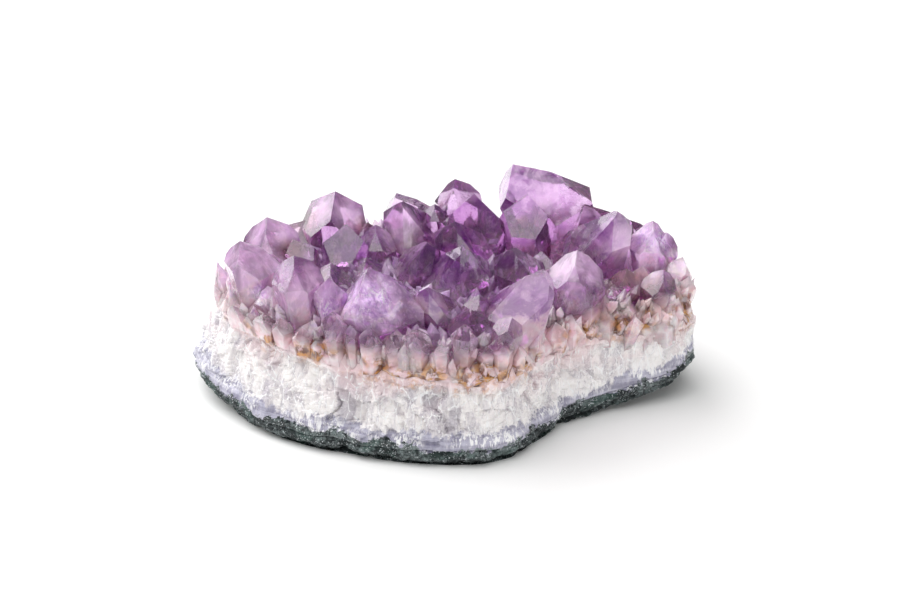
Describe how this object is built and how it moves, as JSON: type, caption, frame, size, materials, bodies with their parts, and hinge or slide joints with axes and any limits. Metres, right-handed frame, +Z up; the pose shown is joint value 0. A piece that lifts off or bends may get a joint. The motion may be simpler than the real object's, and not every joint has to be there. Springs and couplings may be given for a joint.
{
  "type": "amethyst cluster",
  "caption": "Broken slab of geode wall with upright purple quartz points on a white quartz band over a dark, lumpy rock crust.",
  "frame": {"origin": "middle of the bounding box in plan, at the bottom of the flat patch that it rests on", "axes": "+X to the right seen from the front, along the slab's length, +Y to the back, +Z up along the crystals"},
  "size_m": [0.1188, 0.081, 0.046],
  "materials": {
    "amethyst": "clear to purple, glossy crystal faces",
    "milky_quartz": "broken, translucent, semi-gloss",
    "basalt": "matt, pebbly crust"
  },
  "bodies": {
    "root": {"amethyst_crystals": "amethyst", "quartz_band": "milky_quartz", "basalt_rind": "basalt"}
  },
  "joints": []
}
